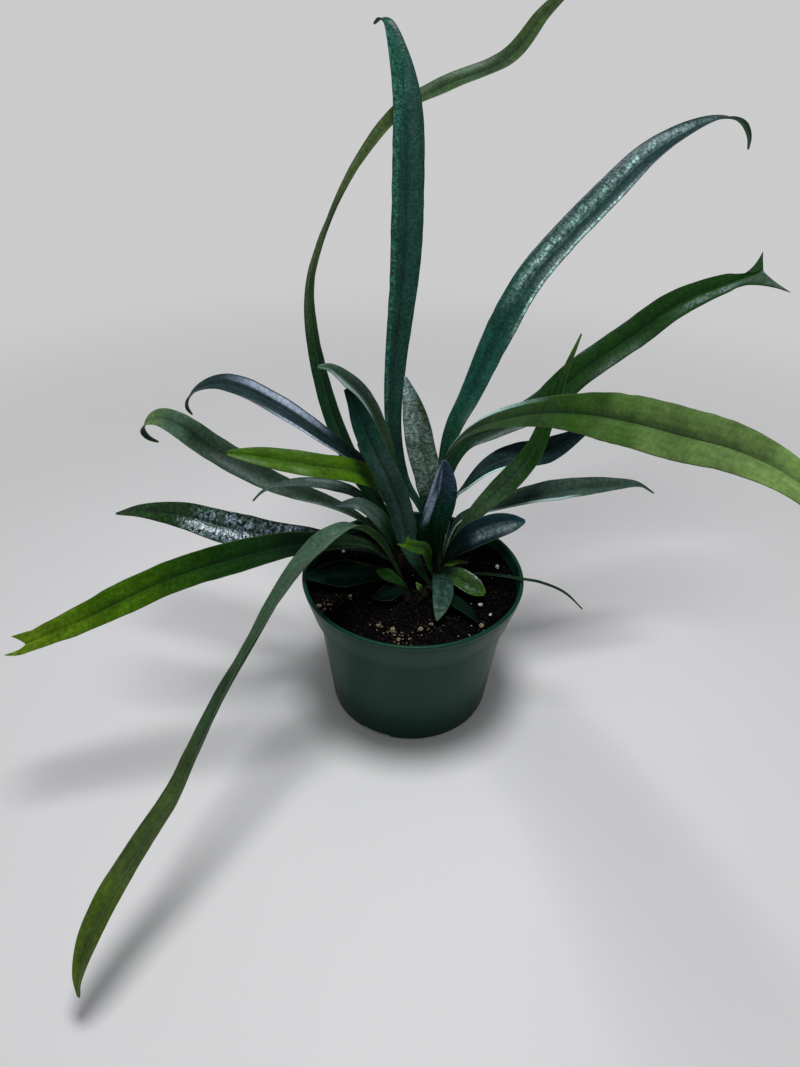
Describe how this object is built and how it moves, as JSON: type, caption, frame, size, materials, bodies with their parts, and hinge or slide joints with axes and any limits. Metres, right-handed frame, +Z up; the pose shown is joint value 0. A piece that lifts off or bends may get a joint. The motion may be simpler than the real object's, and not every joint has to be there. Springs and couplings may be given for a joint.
{
  "type": "potted blue oil fern",
  "caption": "Round green nursery pot of dark soil with a blue oil fern: leathery strap fronds, some forked, arching out from creeping rhizomes.",
  "frame": {"origin": "centre of the pot's flat underside, on the surface it stands on", "axes": "+Z up along the pot's axis, +X to the right and +Y to the back as seen from the front"},
  "size_m": [0.4684, 0.429, 0.4423],
  "materials": {
    "bark": "matte",
    "frond_blue": "satin",
    "frond_dark": "satin",
    "frond_deep": "satin",
    "frond_fresh": "satin",
    "frond_light": "satin",
    "frond_lime": "satin",
    "frond_mid": "satin",
    "frond_olive": "satin",
    "frond_silver": "satin",
    "frond_slate": "satin",
    "frond_teal": "satin",
    "perlite": "matte",
    "pot": "satin",
    "rhizome": "matte",
    "soil": "matte"
  },
  "bodies": {
    "root": {"bark_chip_1": "bark", "bark_chip_2": "bark", "bark_chip_3": "bark", "bark_chip_4": "bark", "bark_chip_5": "bark", "bark_chip_6": "bark", "bark_chip_7": "bark", "bark_chip_8": "bark", "frond_broad_left": "frond_deep", "frond_broad_right": "frond_fresh", "frond_bud": "frond_lime", "frond_curled_left": "frond_deep", "frond_dark_right": "frond_blue", "frond_forked_left": "frond_fresh", "frond_forked_right": "frond_deep", "frond_glossy_left": "frond_blue", "frond_glossy_right": "frond_teal", "frond_grey_left": "frond_silver", "frond_hanging_front": "frond_silver", "frond_hooked_left": "frond_olive", "frond_lime_folded": "frond_lime", "frond_lime_forked": "frond_lime", "frond_lime_left": "frond_lime", "frond_lime_strip": "frond_lime", "frond_long_back": "frond_olive", "frond_long_front": "frond_mid", "frond_low_right": "frond_blue", "frond_mottled_centre": "frond_silver", "frond_narrow_left": "frond_deep", "frond_pale_right": "frond_light", "frond_rim_left": "frond_dark", "frond_shade_left": "frond_dark", "frond_shade_right": "frond_dark", "frond_short_back": "frond_silver", "frond_short_centre": "frond_blue", "frond_short_right": "frond_blue", "frond_slate_left": "frond_slate", "frond_spoon_left": "frond_mid", "frond_tall_centre": "frond_teal", "frond_thread_right": "frond_dark", "perlite_grain_1": "perlite", "perlite_grain_2": "perlite", "perlite_grain_3": "perlite", "perlite_grain_4": "perlite", "perlite_grain_5": "perlite", "perlite_grain_6": "perlite", "pot": "pot", "rhizome_left": "rhizome", "rhizome_right": "rhizome", "soil": "soil"}
  },
  "joints": []
}
